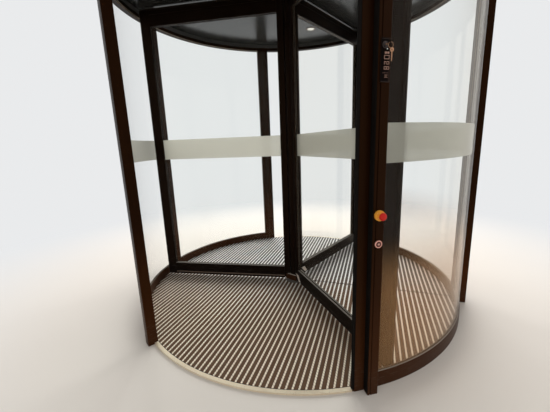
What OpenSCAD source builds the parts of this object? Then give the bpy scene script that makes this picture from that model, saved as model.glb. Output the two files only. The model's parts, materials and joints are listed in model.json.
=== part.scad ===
// Revolving door: three glazed wings turn on a centre shaft inside a round glass drum.
// The origin is on the floor, on the axis of rotation. The facade runs along X, the lobby
// lies at -Y and the street at +Y. Lengths are in millimetres and angles in degrees.

/* [Drum] */
// Radius of the floor mat, which is also the inner face of the round walls
drum_radius = 1470; // [1250:10:1750]
// Thickness of the base rails in plan
wall_thickness = 26; // [24:1:60]
// Height of the base rails
base_rail_height = 98; // [70:1:180]
// Clear height under the ring beam
passage_height = 2690; // [2350:1:2900]
// Thickness of the round wall glass
wall_glass = 12; // [8:1:16]
// Depth of the grooves that hold the round wall glass
wall_groove = 20; // [14:1:40]

/* [Posts] */
// Angle between the facade line and each door post
post_angle = 58.7; // [52:0.1:64]
// Width of a door post, along the wall
post_width = 64; // [46:1:90]
// Depth of a door post, away from the mat
post_depth = 70; // [56:1:130]
// Width of the safety edge beside the two posts that the wings close against
edge_width = 72; // [50:1:90]
// How far a facade post stands out beyond the canopy
facade_post_reach = 26; // [16:1:120]
// Depth of a facade post, from the lobby to the street
facade_post_depth = 150; // [110:1:240]

/* [Canopy] */
// Height of the ring beam
beam_height = 104; // [95:1:140]
// Height of the ceiling above the underside of the ring beam
ceiling_recess = 72; // [50:1:80]
// Thickness of the ceiling panel
ceiling_thickness = 15; // [10:1:20]
// Height of the canopy, from the underside of the ring beam to its top
canopy_height = 360; // [260:1:500]
// Thickness of the fascia sheet and the top cover
sheet = 6; // [3:1:12]
// Number of downlights in the ceiling
light_count = 4; // [2:1:6]
// Radius of the circle that the downlights stand on
light_circle = 980; // [600:10:1100]
// Radius of the bezel of a downlight
light_radius = 54; // [40:1:80]

/* [Wings] */
// Direction of the first wing in the rest position
rest_angle = -51.4; // [-56:0.1:-48]
// Thickness of the wing frame
wing_thickness = 50; // [40:1:64]
// Width of the outer stile
outer_stile = 88; // [45:1:100]
// Width of the inner stile
inner_stile = 62; // [45:1:90]
// Height of the bottom rail
bottom_rail = 118; // [80:1:180]
// Height of the top rail
top_rail = 138; // [80:1:180]
// Thickness of the wing glass
wing_glass = 10; // [6:1:14]
// Depth of the glazing grooves in the wing frame
wing_groove = 14; // [10:1:20]
// Thickness of the brush seals
seal_thickness = 9; // [6:1:14]
// How far the brush seals stand out of the frame
seal_reach = 20; // [12:1:30]
// Running clearance between the brushes and the drum
clearance = 6; // [5:0.5:9]

/* [Shaft] */
// Radius of the centre shaft
shaft_radius = 48; // [40:1:60]
// Radius of the floor pivot pin
pivot_radius = 18; // [12:1:24]
// Radius of the round floor plate under the shaft
floor_plate_radius = 104; // [90:1:130]

/* [Floor] */
// Thickness of the entrance mat and the threshold arcs
mat_thickness = 12; // [10:1:20]
// Height of the metal ribs above the inserts
rib_height = 3; // [2:0.5:5]
// Width of a metal rib
rib_width = 13; // [8:1:18]
// Distance from one rib to the next
rib_pitch = 39; // [30:1:60]
// Width of the threshold arcs
threshold_width = 26; // [20:1:60]

/* [Controls] */
// Height of the emergency stop
stop_height = 1062; // [900:1:1200]
// Radius of the yellow collar of the emergency stop
stop_collar_radius = 27; // [22:1:28]
// Travel of the emergency stop button
stop_travel = 6; // [4:0.5:7]
// Height of the key switch
switch_height = 911; // [800:1:1000]
// Height of the middle of the mode panel
panel_height = 1784; // [1500:1:2000]
// Width of the mode panel
panel_width = 46; // [40:1:46]
// Length of the mode panel
panel_length = 188; // [150:1:220]

/* [Hidden] */
$fn = 72;

bronze = [0.17, 0.11, 0.075];
dark_bronze = [0.11, 0.08, 0.06];
steel = [0.72, 0.7, 0.66];
clear_glass = [0.72, 0.82, 0.8, 0.35];
rubber = [0.05, 0.05, 0.05];

// Gap of faces that touch without moving, and of faces that turn against each other
seat_gap = 0.3;
glass_gap = 1;
eps = 1;

// The round walls
wall_outer = drum_radius + wall_thickness;
glass_inner = drum_radius + (wall_thickness - wall_glass) / 2;
glass_outer = glass_inner + wall_glass;
canopy_radius = drum_radius + post_depth;
rail_chamfer = 3;
glass_bottom = base_rail_height - wall_groove;
glass_top = passage_height + wall_groove - 4 * glass_gap;
facade_web = 70;
smoothness = 360;

// The canopy
ceiling_z = passage_height + ceiling_recess;
beam_top = passage_height + beam_height;
canopy_z = passage_height + canopy_height;
ceiling_ledge = 12;
collar_radius = floor_plate_radius;
collar_drop = 9;
ledge_lip = 10;

// The wings, measured from the axis
wing_reach = drum_radius - clearance;
stile_outer_face = wing_reach - seal_reach;
stile_inner_face = stile_outer_face - outer_stile;
hub_face = shaft_radius + inner_stile;
frame_bottom = mat_thickness + clearance + seal_reach;
bottom_glass_line = frame_bottom + bottom_rail;
seal_top_gap = collar_drop + 5;
frame_top = ceiling_z - seal_top_gap - seal_reach;
top_glass_line = frame_top - top_rail;
seal_bite = 8;
frame_corner = 4;
shoe_height = 34;
shoe_inset = 4;

// The floor pivot
pin_height = 30;

// The controls stand on the outer face of the right-hand post of the lobby
control_face = drum_radius + post_depth;
stop_collar_height = 12;
stop_neck_radius = 13;
stop_neck_height = 9;
stop_head_radius = 20;
stop_head_gap = 5 + stop_travel;
stem_radius = 7;
stem_gap = 0.5;
switch_radius = 20;
switch_rim = 5;
switch_step = 2;
switch_bezel = 4;
switch_floor = 1;
barrel_radius = 9;
panel_thickness = 3;
lock_radius = 11;
lock_height = 9;
lock_drop = 30;
key_reach = 26;
key_thickness = 2.4;
key_blade_radius = 3.2;
key_blade_length = 30;
key_bow_radius = 12;
key_hole_radius = 3;
key_ring_radius = 13;
key_ring_wire = 1.1;
key_ring_bite = 0.4;

// A rectangle with round corners, as a plain section
module round_rectangle(width, height, corner) {
    for (x = [corner, width - corner], y = [corner, height - corner])
        translate([x, y]) circle(corner, $fn = 32);
    translate([corner, 0]) square([width - 2 * corner, height]);
    translate([0, corner]) square([width, height - 2 * corner]);
}

// A section turned about the axis from one angle to another
module swept(from, to) {
    rotate([0, 0, from]) rotate_extrude(angle = to - from, $fn = smoothness) children();
}

// A radial slot through the wall, as wide as the piece that stands in it
module wall_slot(angle, width, bottom, height) {
    rotate([0, 0, angle])
        translate([drum_radius - post_depth, -width / 2, bottom - eps])
            cube([3 * post_depth, width, height + 2 * eps]);
}

// One quarter of a round wall piece, cut off flat against its door post and facade post
module wall_quarter(side, end, bottom, height, bite) {
    difference() {
        swept(min(side, end), max(side, end)) children();
        wall_slot(end, post_width - 2 * bite, bottom, height);
        wall_slot(side, facade_web - 2 * bite, bottom, height);
    }
}

// Section of a base rail, with chamfered shoulders and the groove that holds the glass
module base_rail_section() {
    polygon([
        [drum_radius, 0],
        [wall_outer, 0],
        [wall_outer, base_rail_height - rail_chamfer],
        [wall_outer - rail_chamfer, base_rail_height],
        [glass_outer + glass_gap, base_rail_height],
        [glass_outer + glass_gap, glass_bottom],
        [glass_inner - glass_gap, glass_bottom],
        [glass_inner - glass_gap, base_rail_height],
        [drum_radius + rail_chamfer, base_rail_height],
        [drum_radius, base_rail_height - rail_chamfer]
    ]);
}

module base_rail(side, end) {
    color(bronze)
        wall_quarter(side, end, 0, base_rail_height, 0) base_rail_section();
}

module round_glass(side, end) {
    bite = wall_groove / 2;
    color(clear_glass)
        wall_quarter(side, end, glass_bottom, glass_top - glass_bottom, bite)
            translate([glass_inner, glass_bottom])
                square([wall_glass, glass_top - glass_bottom]);
}

// Plan of a door post: rounded, with the glass slot on the wall side and a shadow groove
module post_plan(wall_side) {
    slot_depth = wall_groove / 2 + glass_gap;
    slot_width = wall_glass + 2 * glass_gap;
    groove_width = 6;
    groove_depth = 4;
    difference() {
        translate([0, -post_width / 2]) round_rectangle(post_depth, post_width, frame_corner);
        translate([
            (wall_thickness - slot_width) / 2,
            wall_side > 0 ? post_width / 2 - slot_depth : -post_width / 2 - eps
        ])
            square([slot_width, slot_depth + eps]);
        translate([post_depth - groove_depth, -wall_side * post_width / 4 - groove_width / 2])
            square([groove_depth + eps, groove_width]);
    }
}

module door_post(angle, wall_side) {
    color(bronze)
        rotate([0, 0, angle])
            translate([drum_radius, 0, 0])
                linear_extrude(passage_height) post_plan(wall_side);
}

// Safety edge: a metal cover strip with a soft round nose towards the opening
module safety_edge(angle) {
    nose = (wall_thickness - 2 * frame_corner) / 2;
    start = -post_width / 2 - edge_width;
    rotate([0, 0, angle])
        translate([drum_radius, 0, 0])
            linear_extrude(passage_height) {
                translate([wall_thickness / 2, start + nose]) circle(nose);
                translate([wall_thickness / 2 - nose, start + nose])
                    square([2 * nose, frame_corner]);
                translate([0, start + nose + frame_corner])
                    square([wall_thickness, edge_width - nose - frame_corner]);
            }
}

module safety_edges() {
    color(bronze)
        for (angle = [-post_angle, 180 - post_angle])
            safety_edge(angle);
}

// Facade post: a web inside the round wall and a wide outer part that the facade joins
module facade_post(angle) {
    slot_depth = wall_groove / 2 + glass_gap;
    slot_width = wall_glass + 2 * glass_gap;
    outer_face = canopy_radius + facade_post_reach;
    color(bronze)
        rotate([0, 0, angle]) {
            linear_extrude(passage_height)
                difference() {
                    union() {
                        translate([drum_radius, -facade_web / 2])
                            square([wall_thickness + frame_corner, facade_web]);
                        translate([wall_outer, -facade_post_depth / 2])
                            square([outer_face - wall_outer, facade_post_depth]);
                    }
                    for (y = [-facade_web / 2 - eps, facade_web / 2 - slot_depth])
                        translate([drum_radius + (wall_thickness - slot_width) / 2, y])
                            square([slot_width, slot_depth + eps]);
                }
            translate([canopy_radius + seat_gap, -facade_post_depth / 2, 0])
                cube([facade_post_reach - seat_gap, facade_post_depth, canopy_z]);
        }
}

// Threshold arc of an opening, cut off flat against the left post and the safety edge
module threshold(turn) {
    reach = 4 * drum_radius;
    rotate([0, 0, turn])
        linear_extrude(mat_thickness)
            difference() {
                circle(drum_radius + threshold_width, $fn = smoothness);
                circle(drum_radius, $fn = smoothness);
                rotate(-post_angle)
                    translate([-reach / 2, -post_width / 2 - edge_width])
                        square(reach);
                rotate(180 + post_angle)
                    translate([-reach / 2, post_width / 2 - reach])
                        square(reach);
            }
}

module thresholds() {
    color(steel)
        for (turn = [0, 180])
            threshold(turn);
}

// Plan of one half of the mat, on the lobby side
module mat_half_plan() {
    joint = 3;
    difference() {
        circle(drum_radius - seat_gap, $fn = smoothness);
        circle(floor_plate_radius + seat_gap);
        translate([-drum_radius, -joint / 2])
            square([2 * drum_radius, drum_radius + joint]);
    }
}

module mat_halves(bottom, height) {
    for (turn = [0, 180])
        rotate([0, 0, turn])
            translate([0, 0, bottom])
                linear_extrude(height) children();
}

module entrance_mat() {
    color([0.2, 0.16, 0.13])
        mat_halves(0, mat_thickness - rib_height) mat_half_plan();
}

module mat_ribs() {
    count = floor((drum_radius - rib_width) / rib_pitch);
    color(steel)
        mat_halves(mat_thickness - rib_height, rib_height)
            intersection() {
                mat_half_plan();
                for (i = [-count:count])
                    translate([i * rib_pitch - rib_width / 2, -drum_radius])
                        square([rib_width, drum_radius]);
            }
}

// Round floor plate with the pin that the shaft turns on
module floor_pivot() {
    color(steel) {
        cylinder(h = mat_thickness, r = floor_plate_radius);
        cylinder(h = mat_thickness + clearance + pin_height, r = pivot_radius);
    }
}

// Ring beam: the glass stands in its groove and the ceiling lies on its inner ledge
module ring_beam() {
    color(dark_bronze)
        rotate_extrude($fn = smoothness)
            polygon([
                [drum_radius, passage_height],
                [glass_inner - glass_gap, passage_height],
                [glass_inner - glass_gap, passage_height + wall_groove],
                [glass_outer + glass_gap, passage_height + wall_groove],
                [glass_outer + glass_gap, passage_height],
                [canopy_radius, passage_height],
                [canopy_radius, beam_top],
                [drum_radius + ceiling_ledge, beam_top],
                [drum_radius + ceiling_ledge, ceiling_z],
                [drum_radius, ceiling_z]
            ]);
}

module at_lights() {
    for (i = [0:light_count - 1])
        rotate([0, 0, 90 + i * 360 / light_count])
            translate([light_circle, 0, 0]) children();
}

// Ceiling panel with a hole for the shaft bearing and holes for the downlights
module ceiling() {
    color([0.2, 0.2, 0.2])
        translate([0, 0, ceiling_z])
            difference() {
                cylinder(
                    h = ceiling_thickness,
                    r = drum_radius + ceiling_ledge - seat_gap,
                    $fn = smoothness
                );
                translate([0, 0, -eps])
                    cylinder(h = ceiling_thickness + 2 * eps, r = collar_radius - ledge_lip);
                at_lights()
                    translate([0, 0, -eps])
                        cylinder(
                            h = ceiling_thickness + 2 * eps,
                            r = light_radius - ledge_lip
                        );
            }
}

// Downlight: a thin bezel under the ceiling, a recessed can and a lens
module downlights() {
    bezel = 2;
    can_height = 60;
    lens_radius = light_radius - 2 * ledge_lip;
    color([0.85, 0.83, 0.78])
        at_lights()
            translate([0, 0, ceiling_z])
                difference() {
                    union() {
                        translate([0, 0, -bezel]) cylinder(h = bezel, r = light_radius);
                        cylinder(h = can_height, r = light_radius - ledge_lip - seat_gap);
                    }
                    translate([0, 0, -bezel - eps]) cylinder(h = 2 * ledge_lip, r = lens_radius);
                }
}

// Bearing collar that guides the top of the shaft, held in the ceiling
module bearing_collar() {
    color(dark_bronze)
        difference() {
            union() {
                translate([0, 0, ceiling_z - collar_drop])
                    cylinder(h = collar_drop, r = collar_radius);
                translate([0, 0, ceiling_z])
                    cylinder(
                        h = 3 * ceiling_thickness,
                        r = collar_radius - ledge_lip - seat_gap
                    );
            }
            translate([0, 0, ceiling_z - collar_drop - eps])
                cylinder(
                    h = collar_drop + 3 * ceiling_thickness + 2 * eps,
                    r = shaft_radius + seat_gap
                );
        }
}

// Curved fascia sheet above the ring beam, one half of the canopy, with folded edges
module fascia(from) {
    lip = 16;
    joint = 0.1;
    bottom = beam_top + seat_gap;
    top = canopy_z - sheet - seat_gap;
    color(bronze)
        swept(from + joint, from + 180 - joint)
            polygon([
                [canopy_radius - lip, bottom],
                [canopy_radius, bottom],
                [canopy_radius, top],
                [canopy_radius - lip, top],
                [canopy_radius - lip, top - sheet],
                [canopy_radius - sheet, top - sheet],
                [canopy_radius - sheet, bottom + sheet],
                [canopy_radius - lip, bottom + sheet]
            ]);
}

module canopy_top() {
    color(dark_bronze)
        translate([0, 0, canopy_z - sheet])
            cylinder(h = sheet, r = canopy_radius, $fn = smoothness);
}

// Puts a piece on the control face, with X pointing out of the post
module on_control_face(height) {
    rotate([0, 0, -post_angle]) translate([control_face, 0, height]) children();
}

// A round piece that stands out of the control face
module boss(from, length, radius) {
    translate([from, 0, 0]) rotate([0, 90, 0]) cylinder(h = length, r = radius, $fn = 48);
}

module stop_collar() {
    color([0.95, 0.62, 0.08])
        on_control_face(stop_height)
            difference() {
                union() {
                    boss(0, stop_collar_height, stop_collar_radius);
                    boss(stop_collar_height, stop_neck_height, stop_neck_radius);
                }
                boss(stop_collar_height / 2, stop_collar_height + stop_neck_height,
                     stem_radius + stem_gap);
            }
}

// Red mushroom button, whose stem slides in the collar
module stop_button() {
    base = stop_collar_height + stop_neck_height + stop_head_gap;
    rim = 6;
    crown = 7;
    color([0.75, 0.07, 0.04])
        on_control_face(stop_height) {
            translate([base, 0, 0])
                rotate([0, 90, 0])
                    rotate_extrude($fn = 48)
                        polygon([
                            [0, 0],
                            [stop_head_radius, 0],
                            [stop_head_radius, rim],
                            [0.8 * stop_head_radius, rim + 0.6 * crown],
                            [0.4 * stop_head_radius, rim + crown],
                            [0, rim + crown]
                        ]);
            boss(stop_collar_height / 2 + stop_travel + seat_gap,
                 base - stop_collar_height / 2 - stop_travel - seat_gap + eps, stem_radius);
        }
}

// Key switch: a flat metal ring with a raised rim
module key_switch() {
    color(steel)
        on_control_face(switch_height)
            difference() {
                union() {
                    boss(0, switch_rim, switch_radius);
                    boss(0, switch_rim + switch_step, switch_radius - switch_bezel);
                }
                boss(switch_floor, switch_rim + switch_step, barrel_radius + seat_gap);
            }
}

module key_barrel() {
    slot_width = 2.6;
    slot_length = 11;
    slot_depth = 3;
    barrel_length = switch_rim + switch_step - switch_floor;
    color([0.5, 0.5, 0.5])
        on_control_face(switch_height)
            difference() {
                boss(switch_floor + seat_gap, barrel_length, barrel_radius);
                translate([
                    switch_floor + seat_gap + barrel_length - slot_depth,
                    -slot_width / 2,
                    -slot_length / 2
                ])
                    cube([slot_depth + eps, slot_width, slot_length]);
            }
}

// Mode panel: a thin plate with the lock cylinder of the mode key near its top
module mode_panel() {
    color([0.07, 0.06, 0.06])
        on_control_face(panel_height)
            difference() {
                union() {
                    translate([0, -panel_width / 2, -panel_length / 2])
                        cube([panel_thickness, panel_width, panel_length]);
                    translate([0, 0, panel_length / 2 - lock_drop])
                        boss(0, lock_height, lock_radius);
                }
                translate([0, 0, panel_length / 2 - lock_drop])
                    boss(eps, lock_height + eps, key_blade_radius + seat_gap);
            }
}

// Head of a key: an upright disc with the hole that the key ring passes through
module key_bow() {
    rotate([90, 0, 0])
        difference() {
            translate([0, 0, -key_thickness / 2])
                cylinder(h = key_thickness, r = key_bow_radius, $fn = 48);
            translate([key_bow_radius / 2, 0, -key_thickness])
                cylinder(h = 2 * key_thickness, r = key_hole_radius, $fn = 32);
        }
}

// Mode key in its lock, with the ring that a second key hangs on
module mode_key() {
    ring_middle = key_reach + key_bow_radius / 2;
    ring_drop = key_ring_radius + key_hole_radius - key_ring_wire + key_ring_bite;
    second_drop = 2 * ring_drop + key_bow_radius / 2;
    color([0.8, 0.66, 0.42])
        on_control_face(panel_height + panel_length / 2 - lock_drop) {
            boss(eps + seat_gap, key_reach - key_bow_radius, key_blade_radius);
            translate([key_reach, 0, 0]) key_bow();
            translate([ring_middle, 0, -ring_drop])
                rotate([0, 90, 0])
                    rotate_extrude($fn = 48)
                        translate([key_ring_radius, 0]) circle(key_ring_wire, $fn = 16);
            translate([ring_middle, 0, -second_drop]) {
                rotate([0, -90, 0]) key_bow();
                translate([
                    -key_blade_radius,
                    -key_thickness / 2,
                    -key_bow_radius - key_blade_length
                ])
                    cube([2 * key_blade_radius, key_thickness, key_blade_length + eps]);
            }
        }
}

// The shaft stands on the floor pin and turns in the bearing collar
module centre_shaft() {
    bottom = mat_thickness + clearance;
    color(dark_bronze)
        difference() {
            translate([0, 0, bottom])
                cylinder(
                    h = ceiling_z + 2 * ceiling_thickness - bottom,
                    r = shaft_radius
                );
            translate([0, 0, bottom - eps])
                cylinder(h = pin_height + seat_gap + eps, r = pivot_radius + seat_gap);
        }
}

module in_wing(turn) {
    rotate([0, 0, rest_angle + turn]) children();
}

// Section of a wing stile, with X along the wing: the glazing groove faces the glass
// and the seal groove faces the drum
module stile_plan(from, width, seal) {
    groove = wing_glass + 2 * glass_gap;
    difference() {
        translate([from, -wing_thickness / 2])
            round_rectangle(width, wing_thickness, frame_corner);
        translate([seal ? from - eps : from + width - wing_groove, -groove / 2])
            square([wing_groove + eps, groove]);
        if (seal)
            translate([from + width - seal_bite, -seal_thickness / 2])
                square([seal_bite + eps, seal_thickness]);
    }
}

module wing_stiles(turn) {
    color(bronze)
        in_wing(turn)
            translate([0, 0, frame_bottom])
                linear_extrude(frame_top - frame_bottom) {
                    stile_plan(shaft_radius + seat_gap, inner_stile - seat_gap, false);
                    stile_plan(stile_inner_face, outer_stile, true);
                }
}

// Section of a wing rail, drawn upright: glazing groove on top, narrower shoe with the
// seal groove below
module rail_section(height) {
    groove = wing_glass + 2 * glass_gap;
    half = wing_thickness / 2;
    foot = half - shoe_inset;
    polygon([
        [-foot, 0],
        [-seal_thickness / 2, 0],
        [-seal_thickness / 2, seal_bite],
        [seal_thickness / 2, seal_bite],
        [seal_thickness / 2, 0],
        [foot, 0],
        [foot, shoe_height],
        [half, shoe_height + shoe_inset],
        [half, height - frame_corner],
        [half - frame_corner, height],
        [groove / 2, height],
        [groove / 2, height - wing_groove],
        [-groove / 2, height - wing_groove],
        [-groove / 2, height],
        [frame_corner - half, height],
        [-half, height - frame_corner],
        [-half, shoe_height + shoe_inset],
        [-foot, shoe_height]
    ]);
}

module wing_rails(turn) {
    length = stile_inner_face - hub_face;
    color(bronze)
        in_wing(turn) {
            translate([hub_face, 0, frame_bottom])
                rotate([90, 0, 90]) linear_extrude(length) rail_section(bottom_rail);
            translate([hub_face, 0, frame_top])
                mirror([0, 0, 1])
                    rotate([90, 0, 90]) linear_extrude(length) rail_section(top_rail);
        }
}

module wing_pane(turn) {
    from = hub_face - wing_groove;
    bottom = bottom_glass_line - wing_groove;
    color(clear_glass)
        in_wing(turn)
            translate([from, -wing_glass / 2, bottom])
                cube([
                    stile_inner_face + wing_groove - from - glass_gap,
                    wing_glass,
                    top_glass_line + wing_groove - bottom - glass_gap
                ]);
}

// Brush seals along the bottom, the outer edge and the top of a wing
module wing_seals(turn) {
    outer = stile_outer_face - seal_bite;
    bottom = mat_thickness + clearance;
    top = frame_top + seal_reach;
    color(rubber)
        in_wing(turn)
            translate([0, -seal_thickness / 2, 0]) {
                translate([outer, 0, bottom])
                    cube([wing_reach - outer, seal_thickness, top - bottom]);
                for (z = [bottom, frame_top])
                    translate([hub_face, 0, z])
                        cube([stile_outer_face - hub_face, seal_thickness, seal_reach]);
                for (z = [frame_bottom, frame_top - seal_bite])
                    translate([hub_face, 0, z])
                        cube([stile_inner_face - hub_face, seal_thickness, seal_bite]);
            }
}

// One module per sub-part
module base_rail_lobby_right() base_rail(0, -post_angle);
module base_rail_street_right() base_rail(0, post_angle);
module base_rail_street_left() base_rail(180, 180 - post_angle);
module base_rail_lobby_left() base_rail(180, 180 + post_angle);
module round_glass_lobby_right() round_glass(0, -post_angle);
module round_glass_street_right() round_glass(0, post_angle);
module round_glass_street_left() round_glass(180, 180 - post_angle);
module round_glass_lobby_left() round_glass(180, 180 + post_angle);
module post_lobby_right() door_post(-post_angle, 1);
module post_lobby_left() door_post(180 + post_angle, -1);
module post_street_right() door_post(post_angle, -1);
module post_street_left() door_post(180 - post_angle, 1);
module facade_post_right() facade_post(0);
module facade_post_left() facade_post(180);
module fascia_lobby() fascia(180);
module fascia_street() fascia(0);
module wing_a_stiles() wing_stiles(0);
module wing_a_rails() wing_rails(0);
module wing_a_glass() wing_pane(0);
module wing_a_seals() wing_seals(0);
module wing_b_stiles() wing_stiles(120);
module wing_b_rails() wing_rails(120);
module wing_b_glass() wing_pane(120);
module wing_b_seals() wing_seals(120);
module wing_c_stiles() wing_stiles(240);
module wing_c_rails() wing_rails(240);
module wing_c_glass() wing_pane(240);
module wing_c_seals() wing_seals(240);

thresholds();
entrance_mat();
mat_ribs();
floor_pivot();
base_rail_lobby_right();
base_rail_street_right();
base_rail_street_left();
base_rail_lobby_left();
round_glass_lobby_right();
round_glass_street_right();
round_glass_street_left();
round_glass_lobby_left();
post_lobby_right();
post_lobby_left();
post_street_right();
post_street_left();
safety_edges();
facade_post_right();
facade_post_left();
ring_beam();
ceiling();
downlights();
bearing_collar();
fascia_lobby();
fascia_street();
canopy_top();
stop_collar();
stop_button();
key_switch();
key_barrel();
mode_panel();
mode_key();
centre_shaft();
wing_a_stiles();
wing_a_rails();
wing_a_glass();
wing_a_seals();
wing_b_stiles();
wing_b_rails();
wing_b_glass();
wing_b_seals();
wing_c_stiles();
wing_c_rails();
wing_c_glass();
wing_c_seals();
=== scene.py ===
"""Revolving door with a glass drum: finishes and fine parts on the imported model, its stage."""

import json
import math
import random

import bmesh
import bpy
from bpy.props import FloatProperty, FloatVectorProperty, PointerProperty
from mathutils import Matrix, Vector


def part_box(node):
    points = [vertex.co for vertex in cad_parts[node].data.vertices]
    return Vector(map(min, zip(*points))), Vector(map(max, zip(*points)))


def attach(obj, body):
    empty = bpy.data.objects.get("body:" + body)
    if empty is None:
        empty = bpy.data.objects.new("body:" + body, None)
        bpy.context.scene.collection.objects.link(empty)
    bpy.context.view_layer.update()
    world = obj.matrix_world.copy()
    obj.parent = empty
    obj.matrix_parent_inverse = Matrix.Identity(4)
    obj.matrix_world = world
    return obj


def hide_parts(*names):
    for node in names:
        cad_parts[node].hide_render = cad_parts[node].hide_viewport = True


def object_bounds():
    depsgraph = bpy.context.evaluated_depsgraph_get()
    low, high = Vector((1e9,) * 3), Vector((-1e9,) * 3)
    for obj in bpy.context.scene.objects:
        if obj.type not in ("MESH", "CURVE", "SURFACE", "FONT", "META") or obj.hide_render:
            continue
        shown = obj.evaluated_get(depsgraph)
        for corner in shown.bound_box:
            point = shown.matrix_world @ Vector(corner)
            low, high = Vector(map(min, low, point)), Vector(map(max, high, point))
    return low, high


bl_info = {
    "name": "Revolving door",
    "version": (1, 0, 0),
    "blender": (4, 5, 0),
    "location": "3D View > Sidebar > Door",
    "description": "Finishes and fine parts for a revolving door with a glass drum",
    "category": "Object",
}

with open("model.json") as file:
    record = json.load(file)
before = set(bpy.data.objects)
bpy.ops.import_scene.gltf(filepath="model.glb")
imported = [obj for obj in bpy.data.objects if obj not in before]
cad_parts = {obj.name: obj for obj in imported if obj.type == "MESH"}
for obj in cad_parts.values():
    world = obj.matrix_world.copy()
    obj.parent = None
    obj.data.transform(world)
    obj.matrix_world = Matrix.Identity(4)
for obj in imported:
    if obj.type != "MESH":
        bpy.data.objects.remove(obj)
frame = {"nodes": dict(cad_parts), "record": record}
NODES = frame["nodes"]
CAD_BOX = [list(corner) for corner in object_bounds()]

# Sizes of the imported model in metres, and angles in degrees
DRUM = 1.470
GLASS_INNER = 1.477
GLASS_OUTER = 1.489
RAIL_TOP = 0.098
BEAM_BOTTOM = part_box("post_lobby_right")[1].z
BEAM_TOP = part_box("ring_beam")[1].z
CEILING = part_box("ceiling")[0].z
CANOPY = 1.540
CANOPY_TOP = CAD_BOX[1][2]
POST_ANGLE = 58.7
HALF_POST = 0.032
HALF_WEB = 0.035
EDGE_START = -0.104
CONTROL_FACE = 1.540
REST_ANGLE = -51.4
HALF_WING = 0.025
HALF_PANE = 0.005
HUB_FACE = 0.110
STILE_FACE = 1.356
OUTER_FACE = 1.444
FRAME_BOTTOM = 0.038
PANE_BOTTOM = 0.156
PANE_TOP = 2.590
FRAME_TOP = 2.728
SEAL_BOTTOM = 0.018
SEAL_TOP = 2.748
MAT_TOP = 0.012
MAT_PLATE = 0.009
RIB_PITCH = 0.039
RIB_WIDTH = 0.013
FLOOR_PLATE = 0.104
STOP_HEIGHT = 1.062
SWITCH_HEIGHT = 0.911
PANEL_HEIGHT = 1.784
LOCK_HEIGHT = 1.848
LIGHT_CIRCLE = 0.980
# Least distance of a piece laid on another one
AIR = 0.0001
ROUND_PANES = {
    "lobby_right": (0, -POST_ANGLE),
    "street_right": (0, POST_ANGLE),
    "street_left": (180, 180 - POST_ANGLE),
    "lobby_left": (180, 180 + POST_ANGLE),
}
WINGS = {"a": 0, "b": 120, "c": 240}
# Angles of the posts that carry a safety edge
SAFETY_POSTS = {"lobby": -POST_ANGLE, "street": 180 - POST_ANGLE}
# Half the angle over which the mat's edge lies open in a doorway
HALF_OPENING = 31.5
# Tufts in a block of bristles, and how much the blocks below and above a wing are lengthened
TUFTS = 40
LOWER_REACH = 1.045
UPPER_REACH = 1.46
# Middle, width and height in millimetres of each printed mark on the mode panel
PANEL_MARKS = (
    (3.0, 31.2, 10.0, 9.0), (16.0, 31.2, 9.0, 9.0), (9.5, 31.2, 6.0, 2.6),
    (-3.0, 12.5, 2.6, 17.0), (20.5, 12.5, 2.6, 17.0), (8.8, 19.8, 23.6, 2.6),
    (8.8, 5.2, 23.6, 2.6), (1.0, -6.5, 9.0, 3.0), (15.0, -6.5, 11.0, 3.0),
    (-2.2, -12.0, 2.6, 13.0), (6.8, -11.5, 2.4, 10.0), (20.5, -12.0, 2.6, 10.0),
    (14.0, -16.8, 11.0, 2.6), (-3.0, -33.0, 2.6, 12.0), (20.5, -33.0, 2.6, 12.0),
    (8.8, -33.0, 3.6, 12.0), (2.0, -27.5, 9.0, 2.6), (15.5, -27.5, 9.0, 2.6),
    (2.0, -38.5, 9.0, 2.6), (15.5, -38.5, 9.0, 2.6), (-7.0, -53.8, 2.6, 1.8),
    (0.0, -53.8, 2.6, 1.8), (7.0, -53.8, 2.6, 1.8), (14.0, -53.8, 2.6, 1.8),
    (8.0, -63.0, 16.0, 1.6), (6.0, -68.0, 11.0, 1.6), (8.0, -73.0, 16.0, 1.6),
)


def length(name, description, default):
    """A size in metres that the panel shows with its unit."""
    return FloatProperty(
        name=name, description=description, default=default, min=0, precision=4, unit="LENGTH"
    )


def colour(name, description, default):
    """A linear colour that the panel shows as a swatch."""
    return FloatVectorProperty(
        name=name, description=description, default=default, min=0, max=1, subtype="COLOR"
    )


class DoorSizes(bpy.types.PropertyGroup):
    """Sizes of the fine parts."""

    band_bottom: length("Band bottom", "Height of the frosted band's lower edge", 1.315)
    band_height: length("Band height", "Height of the frosted band itself", 0.200)
    film: length("Film", "Thickness of the frosted film", 0.0004)
    bead_width: length("Bead width", "How far a glazing bead reaches from the glass", 0.0042)
    bead_height: length("Bead height", "How far a glazing bead stands on its frame", 0.0040)
    bristle_pitch: length("Bristle pitch", "Distance between two tufts of a brush", 0.0018)
    pile_height: length("Pile height", "Height of the mat's pile over its plate", 0.0024)


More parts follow.
